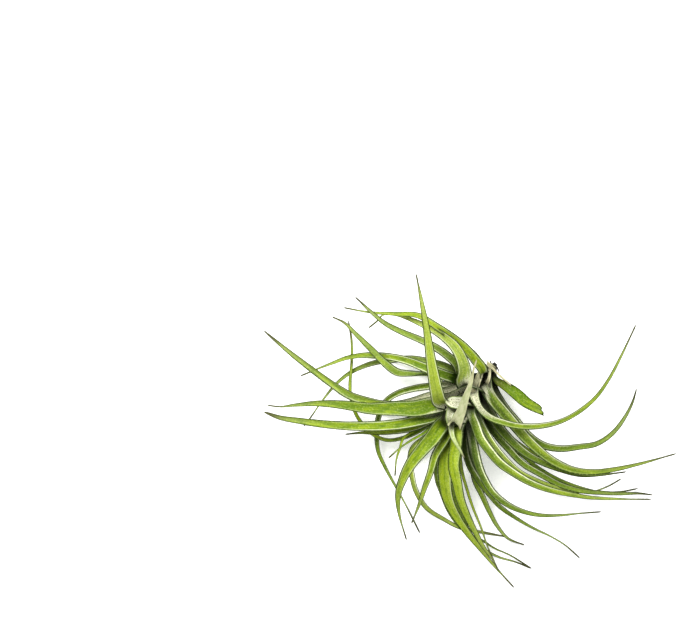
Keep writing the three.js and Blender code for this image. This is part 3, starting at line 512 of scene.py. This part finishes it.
def markings(name, rng, across, half, s, reach, length, left):
    """What the finish reads on each point of a blade: where it lies, and how strongly it is marked."""
    pale_length, pale_side = PALE_BASE.get(name, USUAL_PALE_BASE)
    pale_share = np.abs(across) if pale_side == 0 else (1 + pale_side * across) / 2
    channel, channel_side = CHANNEL_SHADE.get(name, USUAL_CHANNEL_SHADE)
    # The painted shade in the hollow of the channel
    hollow = np.exp(-((across - HOLLOW_OFFSET * channel_side) / HOLLOW_WIDTH) ** 2)
    hollow = hollow * np.clip(HOLLOW_AT_FOOT - HOLLOW_LOSS * s, LEAST_HOLLOW, 1)
    margin = (1 - np.abs(across)) * half / np.minimum(MARGIN_WIDTH, NARROW_MARGIN * half)
    if left < 1.0:
        margin = np.minimum(margin, (length - reach) / MARGIN_WIDTH)
    rim = between(half, *RIM_HALF_WIDTHS) * between(s, *RIM_LENGTHS)
    # On some leaves the lit half is painted paler, as painted light, and the pale margin is kept mostly on
    # that half
    if name in LIT_HALF:
        rim = rim * np.where(across > 0, UNLIT_MARGIN, 1)
    lit_side = LIT_HALF.get(name, 0.0) * np.clip(LIT_AT_MIDRIB - LIT_GAIN * across, 0, 1)
    return {
        "edge": np.abs(across),
        "along": s,
        "reach": reach,
        "margin": margin,
        "rim": rim * PALE_MARGIN.get(name, USUAL_PALE_MARGIN),
        "under": np.repeat([0.0, 1.0], COLUMNS),
        "tone": TONE.get(name, rng.uniform(-TONE_SPREAD, TONE_SPREAD)),
        "channel": channel * hollow,
        "dried": np.clip(DRIED_AT_FOOT - reach / DRIED_FOOT.get(name, USUAL_DRIED_FOOT), 0, 1),
        "foot": FOOT_SHADE.get(name, USUAL_FOOT_SHADE),
        "silver_and_lit": SILVER.get(name, USUAL_SILVER) + lit_side,
        "sheath": reach / pale_length * (PALE_PACE - PALE_PACE_LOSS * pale_share),
    }


def blade(row, seed):
    """One leaf, a thin channelled blade from its sheath on the stem to its end, and its grid's size."""
    name, height, width, taper, fold, face, twist, points = row[:8]
    left = row[8] if len(row) > 8 else 1.0
    rng = np.random.default_rng(seed)
    centres, length = smooth_curve([on_stem(height)] + [placed(p) for p in points], RING_SPACING)
    fraction = np.linspace(0, 1, len(centres))
    reach = fraction * length
    s = fraction * left
    turned_by = twist * between(fraction, TWIST_UNTIL, TWIST_UNTIL - TWIST_LENGTH)
    roll = np.radians(face + turned_by) + ripple(rng, reach, waves=3, size=ROLL_RIPPLE)
    tangents, across, normals = carried_frames(centres, roll)
    u = np.linspace(-1, 1, COLUMNS)
    u = EDGE_CROWDING * np.sin(u * math.pi / 2) + (1 - EDGE_CROWDING) * u
    both = np.concatenate([u, u[::-1]])
    half = half_widths(name, width, taper, left, fraction, reach)[:, None]
    rise = half * np.tan(channel_angle(s, reach, fold))[:, None]
    left_wave = ripple(rng, reach, waves=4, size=MARGIN_RIPPLE)[:, None]
    right_wave = ripple(rng, reach, waves=4, size=MARGIN_RIPPLE)[:, None]
    bend = rise * (u ** 2 - 0.5) + np.where(u < 0, left_wave, right_wave) * np.abs(u) ** 3 * half
    middle = MID_THICKNESS + (BASE_THICKNESS - MID_THICKNESS) * between(reach, SHEATH_LENGTH, 0)
    middle = (middle + (TIP_THICKNESS - MID_THICKNESS) * between(s, THIN_FROM, 1))[:, None]
    thick = EDGE_THICKNESS + (middle - EDGE_THICKNESS) * (1 - np.abs(u) ** FLATNESS)
    thick = np.minimum(thick, MOST_THICKNESS * half)
    sideways = np.hstack([u * half, (u * half)[:, ::-1]])
    upward = np.hstack([bend + thick / 2, (bend - thick / 2)[:, ::-1]])
    rings = centres[:, None] + sideways[..., None] * across[:, None] + upward[..., None] * normals[:, None]
    if name == "leaf_dry":
        rings[..., 1] -= dry_corners(both, reach)
    if left < 1.0 and name not in ROUND_ENDED:
        rings += torn_end(both, fraction, seed)[..., None] * tangents[:, None] * width
    rings[..., 2] = np.maximum(rings[..., 2], FLOOR_CLEARANCE)
    values = markings(name, rng, both, half, s[:, None], reach[:, None], length, left)
    laid_out = sideways + values["under"] * UNDER_SHIFT
    flat = np.stack([laid_out, np.broadcast_to(reach[:, None], laid_out.shape)], -1)
    return grid_mesh(name + "_skin", rings, values, flat), laid_out.shape


def turned(name, profile, lumps, seed):
    """A shape turned round the stem's axis with an uneven skin, and its grid's size."""
    rng = np.random.default_rng(seed)
    axis = unit(STEM_APEX - STEM_FOOT)
    side = unit(np.cross(axis, [0.0, 0.0, 1.0]))
    up = np.cross(side, axis)
    radii, heights = np.array(profile, float).T
    steps = np.linspace(0, 1, TURN_STEPS)
    reached = np.concatenate([[0], np.cumsum(np.hypot(np.diff(radii), np.diff(heights)))])
    r = np.maximum(LEAST_RADIUS, np.interp(steps * reached[-1], reached, radii))
    h = np.interp(steps * reached[-1], reached, heights)
    angle = np.linspace(0, 2 * math.pi, TURN_SIDES, endpoint=False)
    noise = np.zeros((len(steps), TURN_SIDES))
    for k in range(1, TURN_WAVES + 1):
        round_it = angle * rng.integers(2, 7) + rng.uniform(0, 6)
        noise += np.sin(round_it + steps[:, None] * rng.uniform(5, 30)) / k
    r = r[:, None] * (1 + lumps * noise)
    centre = STEM_FOOT + CENTRING
    rings = (centre + h[:, None, None] * axis + (r * np.cos(angle))[..., None] * side
             + (r * np.sin(angle))[..., None] * up)
    return grid_mesh(name, rings, {"along": steps[:, None]}), r.shape


def thread(name, points, seed):
    """A wiry root: a thin uneven tube along guide points."""
    rng = np.random.default_rng(seed)
    centres, length = smooth_curve(points, WIRE_SPACING)
    reach = np.linspace(0, length, len(centres))
    wobble = [ripple(rng, reach * WIRE_WOBBLE_PACE, waves=3, size=WIRE_WOBBLE) for _ in range(3)]
    centres = centres + np.stack(wobble, 1)
    _, across, normals = carried_frames(centres, np.zeros(len(centres)))
    angle = np.linspace(0, 2 * math.pi, WIRE_SIDES, endpoint=False)
    swell = 1 + ripple(rng, reach * WIRE_SWELL_PACE, waves=3, size=WIRE_SWELL)
    r = np.linspace(WIRE_RADIUS, WIRE_END_RADIUS, len(centres)) * swell
    rings = (centres[:, None] + (r[:, None] * np.cos(angle))[..., None] * across[:, None]
             + (r[:, None] * np.sin(angle))[..., None] * normals[:, None])
    return grid_mesh(name, rings, {"along": reach[:, None] / length})


def ray_fan(count):
    """Directions spread over a hemisphere round +Z, closer together towards it."""
    golden = math.pi * (3 - math.sqrt(5))
    fan = []
    for k in range(count):
        flat = math.sqrt((k + 0.5) / count)
        fan.append((flat * math.cos(k * golden), flat * math.sin(k * golden), math.sqrt(1 - flat * flat)))
    return np.array(fan)


def read_vectors(collection, key):
    """The vectors that a mesh keeps under a key, one a row."""
    numbers = np.zeros(len(collection) * 3)
    collection.foreach_get(key, numbers)
    return numbers.reshape(-1, 3)


def shade_pieces(pieces):
    """Stores on each point how much the neighbouring pieces hide it, for the painted shade in the hollows
    of the crown.
    """
    verts, faces, offset = [], [], 0
    for piece, _ in pieces:
        mesh = piece.data
        verts.extend(read_vectors(mesh.vertices, "co").tolist())
        faces.extend([[v + offset for v in face.vertices] for face in mesh.polygons])
        offset += len(mesh.vertices)
    tree = BVHTree.FromPolygons(verts, faces)
    fan = ray_fan(SHADE_RAYS)
    for piece, (rings, around) in pieces:
        mesh = piece.data
        places = read_vectors(mesh.vertices, "co").reshape(rings, around, 3)
        normals = read_vectors(mesh.vertex_normals, "vector").reshape(rings, around, 3)
        rows = sorted({*range(0, rings, SHADE_RING_STEP), rings - 1})
        columns = sorted({*range(0, around, SHADE_COLUMN_STEP), around - 1})
        found = np.zeros((len(rows), len(columns)))
        for a, i in enumerate(rows):
            for b, j in enumerate(columns):
                normal = Vector(normals[i, j])
                turn = normal.to_track_quat("Z", "Y").to_matrix()
                start = Vector(places[i, j]) + normal * (SHADE_LIFT * MM)
                hidden = 0.0
                for ray in fan:
                    distance = tree.ray_cast(start, turn @ Vector(ray), SHADE_REACH * MM)[3]
                    if distance is not None:
                        hidden += 1 - distance / (SHADE_REACH * MM)
                found[a, b] = hidden / SHADE_RAYS
        by_ring = np.stack([np.interp(range(rings), rows, found[:, b]) for b in range(len(columns))], 1)
        full = np.stack([np.interp(range(around), columns, by_ring[i]) for i in range(rings)])
        layer = mesh.attributes.new("shade", "FLOAT", "POINT")
        layer.data.foreach_set("value", full.astype(np.float32).ravel())


class Nodes:
    """Short ways to add and join shader nodes in one material."""

    def __init__(self, name):
        self.material = bpy.data.materials.new(name)
        self.material.use_nodes = True
        self.tree = self.material.node_tree
        self.shader = self.tree.nodes["Principled BSDF"]

    def link(self, source, target):
        if hasattr(source, "is_output"):
            self.tree.links.new(source, target)
        else:
            target.default_value = source

    def value(self, name):
        node = self.tree.nodes.new("ShaderNodeAttribute")
        node.attribute_name = name
        return node.outputs["Fac"]

    def math(self, operation, a, b, clamp=False):
        node = self.tree.nodes.new("ShaderNodeMath")
        node.operation = operation
        node.use_clamp = clamp
        self.link(a, node.inputs[0])
        self.link(b, node.inputs[1])
        return node.outputs[0]

    def ramp(self, value, low, high, start=0.0, end=1.0, smooth=True):
        node = self.tree.nodes.new("ShaderNodeMapRange")
        node.interpolation_type = "SMOOTHSTEP" if smooth else "LINEAR"
        self.link(value, node.inputs["Value"])
        for key, number in (("From Min", low), ("From Max", high), ("To Min", start), ("To Max", end)):
            node.inputs[key].default_value = number
        return node.outputs["Result"]

    def mix(self, share, a, b):
        node = self.tree.nodes.new("ShaderNodeMix")
        node.data_type = "RGBA"
        self.link(share, node.inputs["Factor"])
        self.link(a if hasattr(a, "is_output") else (*a, 1.0), node.inputs["A"])
        self.link(b if hasattr(b, "is_output") else (*b, 1.0), node.inputs["B"])
        return node.outputs["Result"]

    def flat(self, across, along):
        """The leaf laid flat in millimetres, stretched by a scale each way."""
        source = self.tree.nodes.new("ShaderNodeUVMap")
        source.uv_map = "flat"
        node = self.tree.nodes.new("ShaderNodeMapping")
        self.tree.links.new(source.outputs[0], node.inputs["Vector"])
        node.inputs["Scale"].default_value = (across, along, 1.0)
        return node.outputs[0]

    def space(self, scale):
        """The place in the part, in millimetres times a scale."""
        source = self.tree.nodes.new("ShaderNodeTexCoord")
        node = self.tree.nodes.new("ShaderNodeMapping")
        self.tree.links.new(source.outputs["Object"], node.inputs["Vector"])
        node.inputs["Scale"].default_value = (scale / MM,) * 3
        return node.outputs[0]

    def noise(self, vector, detail, roughness=0.55):
        node = self.tree.nodes.new("ShaderNodeTexNoise")
        self.tree.links.new(vector, node.inputs["Vector"])
        node.inputs["Scale"].default_value = 1.0
        node.inputs["Detail"].default_value = detail
        node.inputs["Roughness"].default_value = roughness
        return node.outputs["Fac"]

    def cells(self, vector):
        node = self.tree.nodes.new("ShaderNodeTexVoronoi")
        self.tree.links.new(vector, node.inputs["Vector"])
        node.inputs["Scale"].default_value = 1.0
        return node.outputs["Distance"]

    def bump(self, height, depth, before=None):
        node = self.tree.nodes.new("ShaderNodeBump")
        node.inputs["Distance"].default_value = depth * MM
        self.link(height, node.inputs["Height"])
        if before is not None:
            self.link(before, node.inputs["Normal"])
        return node.outputs["Normal"]

    def finish(self, colour, roughness, normal, specular):
        self.link(colour, self.shader.inputs["Base Color"])
        self.link(roughness, self.shader.inputs["Roughness"])
        self.link(normal, self.shader.inputs["Normal"])
        self.shader.inputs["Specular IOR Level"].default_value = specular
        return self.material


def leaf_material(name, light, dark, deep, pale, margin, tip):
    """A living leaf: green, deeper at its foot, with scales, fine veins, pale margins and a dry tip."""
    n = Nodes(name)
    edge, along, to_margin = n.value("edge"), n.value("along"), n.value("margin")
    foot, hidden = n.value("foot"), n.value("shade")
    mottle = n.noise(n.flat(0.5, 0.09), 4.0)
    streak = n.noise(n.flat(2.6, 0.1), 3.0)
    grain = n.noise(n.flat(1.3, 0.85), 4.0, 0.7)
    blot = n.noise(n.flat(0.9, 0.7), 3.0, 0.75)
    freckle = n.noise(n.flat(1.4, 1.0), 3.0, 0.75)
    scales = n.cells(n.flat(1.6, 1.4))

    # The green: deeper at the foot and towards the midrib as painted shade, mottled and streaked, dull
    # towards the tip, and dark with painted shade in the channel
    depth = n.math("MULTIPLY", n.ramp(along, 0.05, 0.7, 0.75, 0.0), foot)
    depth = n.math("ADD", n.math("ADD", depth, 0.22), n.ramp(mottle, 0.3, 0.7, -0.45, 0.5))
    depth = n.math("ADD", depth, n.ramp(edge, 0.9, 0.1, 0.0, 0.12))
    depth = n.math("ADD", depth, n.value("tone"), clamp=True)
    colour = n.mix(depth, light, dark)
    colour = n.mix(n.ramp(streak, 0.45, 0.8, 0.0, 0.35), colour, light)
    colour = n.mix(n.ramp(along, 0.55, 0.95, 0.0, 0.55), colour, DULL_TIP)
    colour = n.mix(n.ramp(grain, 0.5, 0.36, 0.0, 0.55), colour, dark)
    colour = n.mix(n.math("MULTIPLY", n.value("channel"), 0.85), colour, deep)

    # The silvery scales, more of them towards the tip and on the underside, and on some leaves the lit half
    # painted paler as painted light
    dusting = n.math("MULTIPLY", n.ramp(grain, 0.42, 0.7), n.ramp(scales, 0.6, 0.15))
    scales_and_lit_cover = n.math("MULTIPLY", n.value("silver_and_lit"), n.ramp(along, 0.0, 1.0, 0.85, 1.35, smooth=False))
    scales_and_lit_cover = n.math("ADD", scales_and_lit_cover, n.math("MULTIPLY", n.value("under"), 0.22))
    scales_and_lit_share = n.math("ADD", n.math("MULTIPLY", dusting, 1.1), 0.3)
    scales_and_lit_share = n.math("MULTIPLY", scales_and_lit_share, scales_and_lit_cover, clamp=True)
    colour = n.mix(scales_and_lit_share, colour, pale)

    # The white sheath and its specks
    white = n.math("ADD", n.value("sheath"), n.ramp(streak, 0.3, 0.7, -0.12, 0.12))
    speckled = n.mix(n.ramp(freckle, 0.47, 0.6, 0.0, 0.85), SHEATH_WHITE, SHEATH_SPECK)
    colour = n.mix(n.ramp(white, 1.0, 0.6), colour, speckled)

    # The midrib, darkened as painted shade, and along each side a shaded line, the pale margin, partly a
    # painted highlight, and a dark outline
    colour = n.mix(n.ramp(edge, 0.16, 0.04, 0.0, 0.3), colour, dark)
    rim = n.math("ADD", to_margin, n.ramp(grain, 0.3, 0.7, -0.25, 0.25))
    colour = n.mix(n.ramp(rim, 3.4, 2.0, 0.0, 0.3), colour, dark)
    pale_line = n.math("MULTIPLY", n.ramp(rim, 2.5, 1.9, 0.0, 0.9), n.value("rim"))
    colour = n.mix(pale_line, colour, margin)
    colour = n.mix(n.ramp(to_margin, 1.45, 0.85, 0.0, 0.95), colour, deep)

    # A foot that has dried brown, pale and dark blots, and the dry tip
    brown = n.mix(n.ramp(streak, 0.35, 0.65), DRIED_BROWN, DRIED_DARK)
    dried = n.math("ADD", n.value("dried"), n.ramp(grain, 0.3, 0.7, -0.2, 0.1), clamp=True)
    colour = n.mix(dried, colour, brown)
    colour = n.mix(n.ramp(blot, 0.53, 0.66, 0.0, 0.28), colour, pale)
    colour = n.mix(n.ramp(blot, 0.44, 0.33, 0.0, 0.4), colour, dark)
    ragged = n.math("ADD", along, n.ramp(streak, 0.3, 0.7, -0.03, 0.03))
    colour = n.mix(n.ramp(ragged, 0.86, 0.97), colour, tip)

    # Painted shade in the hollows between the leaves, where neighbours hide a point: deep green, then near
    # black, fainter away from the crown
    fade = n.math("MULTIPLY", n.ramp(n.value("reach"), 40.0, 70.0, 1.0, 0.35), foot)
    colour = n.mix(n.math("MULTIPLY", n.ramp(hidden, 0.15, 0.42, 0.0, 0.85), fade), colour, deep)
    colour = n.mix(n.math("MULTIPLY", n.ramp(hidden, 0.38, 0.58, 0.0, 0.97), fade), colour, CREVICE_SHADE)

    veins = n.noise(n.flat(4.5, 0.05), 1.0)
    normal = n.bump(dusting, 0.05, n.bump(veins, 0.14))
    rough = n.ramp(scales_and_lit_share, 0.0, 1.0, 0.45, 0.8, smooth=False)
    return n.finish(colour, rough, normal, specular=0.08)


def papery_material(name, light, dark, line, tip, speckle):
    """A dried leaf or husk: papery, with long veins, blotches and dark specks."""
    n = Nodes(name)
    along = n.value("along")
    veins = n.noise(n.flat(3.2, 0.07), 2.0)
    blotch = n.noise(n.flat(0.5, 0.16), 4.0)
    grain = n.noise(n.flat(2.0, 1.2), 3.0, 0.7)
    colour = n.mix(n.ramp(blotch, 0.35, 0.68), light, dark)
    colour = n.mix(n.ramp(veins, 0.5, 0.7, 0.0, 0.7), colour, line)
    colour = n.mix(n.ramp(grain, 0.58, 0.68, 0.0, speckle), colour, tip)
    colour = n.mix(n.ramp(along, 0.7, 1.0, 0.0, 0.6), colour, tip)
    # Painted shade, near black, where neighbouring pieces hide the surface
    colour = n.mix(n.ramp(n.value("shade"), 0.3, 0.95, 0.0, 0.93, smooth=False), colour, CREVICE_SHADE)
    normal = n.bump(grain, 0.12, n.bump(veins, 0.25))
    return n.finish(colour, n.ramp(grain, 0.3, 0.7, 0.65, 0.9), normal, specular=0.25)


def woody_material(name, light, dark, scale):
    """Rough dead wood, with painted shade in its hollows; a larger scale makes its grain finer."""
    n = Nodes(name)
    coarse = n.noise(n.space(scale), 5.0, 0.65)
    fine = n.noise(n.space(scale * 5), 3.0, 0.7)
    colour = n.mix(n.ramp(coarse, 0.35, 0.65), light, dark)
    colour = n.mix(n.ramp(fine, 0.55, 0.75, 0.0, 0.6), colour, dark)
    # Painted shade, near black, where neighbouring pieces hide the wood
    colour = n.mix(n.ramp(n.value("shade"), 0.2, 0.7, 0.0, 0.95, smooth=False), colour, CREVICE_SHADE)
    normal = n.bump(fine, 0.15, n.bump(coarse, 0.4))
    return n.finish(colour, n.ramp(fine, 0.3, 0.7, 0.75, 0.95), normal, specular=0.2)


def floor_material():
    """The overexposed white ground of the photograph: it glows a little, so that shadows stay faint."""
    n = Nodes("floor")
    fine = n.noise(n.space(0.02), 4.0)
    colour = n.mix(n.ramp(fine, 0.3, 0.7), (0.94, 0.94, 0.94), (0.92, 0.92, 0.92))
    n.shader.inputs["Emission Color"].default_value = (1.0, 1.0, 1.0, 1.0)
    n.shader.inputs["Emission Strength"].default_value = FLOOR_GLOW
    return n.finish(colour, 0.7, n.bump(fine, 0.02), specular=0.2)


def camera():
    """Looks straight down from the eye, with the guide points' plane filling the frame."""
    data = bpy.data.cameras.new("camera")
    data.sensor_width = SENSOR
    data.lens = SENSOR * (EYE[2] - VIEW_PLANE) / VIEW_WIDTH
    data.clip_start = 0.01
    data.clip_end = 20
    seat = bpy.data.objects.new("camera", data)
    seat.location = (EYE + CENTRING) * MM
    bpy.context.scene.collection.objects.link(seat)
    bpy.context.scene.camera = seat


def soft_light(name, place, size, power, colour):
    """A round soft lamp that faces the plant; its place and size are in metres."""
    data = bpy.data.lights.new(name, "AREA")
    data.shape = "DISK"
    data.size = size
    data.energy = power
    data.color = colour
    lamp = bpy.data.objects.new(name, data)
    lamp.location = place
    back = unit(np.array(place) - LAMP_AIM)
    side = unit(np.cross([0.0, 1.0, 0.0], back))
    up = np.cross(back, side)
    matrix = np.eye(4)
    matrix[:3, 0], matrix[:3, 1], matrix[:3, 2], matrix[:3, 3] = side, up, back, place
    lamp.matrix_world = matrix.T.tolist()
    bpy.context.scene.collection.objects.link(lamp)


def studio():
    """The pale floor, the sky and the two lamps."""
    scene = bpy.context.scene
    scene.view_settings.view_transform = "Standard"
    world = bpy.data.worlds.new("studio")
    scene.world = world
    world.use_nodes = True
    background = world.node_tree.nodes["Background"]
    background.inputs["Color"].default_value = SKY_COLOUR
    background.inputs["Strength"].default_value = SKY_STRENGTH
    soft_light("key", place=(-0.42, 0.5, 1.2), size=0.5, power=27.0, colour=(1.0, 0.985, 0.95))
    soft_light("fill", place=(0.9, -0.6, 1.0), size=1.2, power=3.2, colour=(0.97, 0.985, 1.0))
    mesh = bpy.data.meshes.new("floor")
    corners = [(x * FLOOR_REACH, y * FLOOR_REACH, 0) for x, y in ((-1, -1), (1, -1), (1, 1), (-1, 1))]
    mesh.from_pydata(corners, [], [(0, 1, 2, 3)])
    mesh.materials.append(floor_material())
    floor = bpy.data.objects.new("floor", mesh)
    scene.collection.objects.link(floor)


def dress(piece, node, material):
    """Puts a piece in its node's place, with its finish, on the plant's one body."""
    piece.data.materials.append(material)
    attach(piece, BODY)
    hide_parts(node)


def slot_of(name):
    """The material slot of a leaf or sheath."""
    if name.startswith("sheath_old"):
        return "husk"
    if name in ("sheath_crown", "sheath_flap", "leaf_curled"):
        return "pale_leaf"
    if name == "leaf_dry":
        return "dry_leaf"
    return "deep_green_leaf" if name in DEEP_GREEN_LEAVES else "green_leaf"


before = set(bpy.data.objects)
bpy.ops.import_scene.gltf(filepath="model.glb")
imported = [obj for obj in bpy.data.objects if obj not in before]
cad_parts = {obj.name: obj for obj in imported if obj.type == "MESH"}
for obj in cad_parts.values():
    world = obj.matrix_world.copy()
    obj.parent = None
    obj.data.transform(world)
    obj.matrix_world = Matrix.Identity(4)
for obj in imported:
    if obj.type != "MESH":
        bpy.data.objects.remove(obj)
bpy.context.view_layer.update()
camera()
studio()

materials = {
    "green_leaf": leaf_material("green_leaf", light=(0.3, 0.4, 0.006), dark=(0.075, 0.15, 0.001),
                                deep=(0.013, 0.032, 0.001), pale=(0.54, 0.6, 0.2),
                                margin=(0.92, 0.96, 0.66), tip=(0.075, 0.08, 0.03)),
    "deep_green_leaf": leaf_material("deep_green_leaf", light=(0.18, 0.28, 0.003), dark=(0.045, 0.1, 0.001),
                                     deep=(0.01, 0.022, 0.001), pale=(0.48, 0.54, 0.22),
                                     margin=(0.88, 0.94, 0.62), tip=(0.055, 0.06, 0.025)),
    "pale_leaf": leaf_material("pale_leaf", light=(0.45, 0.52, 0.22), dark=(0.18, 0.26, 0.05),
                               deep=(0.2, 0.26, 0.08), pale=(0.7, 0.72, 0.55), margin=(0.78, 0.8, 0.64),
                               tip=(0.2, 0.19, 0.12)),
    "dry_leaf": papery_material("dry_leaf", light=(0.46, 0.48, 0.28), dark=(0.29, 0.33, 0.15),
                                line=(0.47, 0.39, 0.27), tip=(0.33, 0.28, 0.18), speckle=0.35),
    "husk": papery_material("husk", light=(0.58, 0.57, 0.36), dark=(0.24, 0.22, 0.11),
                            line=(0.22, 0.17, 0.09), tip=(0.05, 0.04, 0.03), speckle=0.8),
    "stem": woody_material("stem", light=(0.18, 0.135, 0.08), dark=(0.05, 0.037, 0.022), scale=0.7),
    "root": woody_material("root", light=(0.05, 0.038, 0.03), dark=(0.009, 0.008, 0.006), scale=1.2),
}

blades = [blade(row, seed) for seed, row in enumerate(LEAVES, start=100)]
stem = turned("stem_skin", STEM_PROFILE, lumps=0.05, seed=7)
stub = turned("roots_stub", ROOT_PROFILE, lumps=0.1, seed=8)
shade_pieces(blades + [stem, stub])
for row, (piece, _) in zip(LEAVES, blades):
    slot = slot_of(row[0])
    dress(piece, row[0], materials[slot])

dress(stem[0], "stem", materials["stem"])
dress(stub[0], "roots", materials["root"])
for index, points in enumerate(ROOT_WIRES):
    wire = thread(f"roots_wire_{index + 1}", [placed(p) for p in points], seed=20 + index)
    dress(wire, "roots", materials["root"])
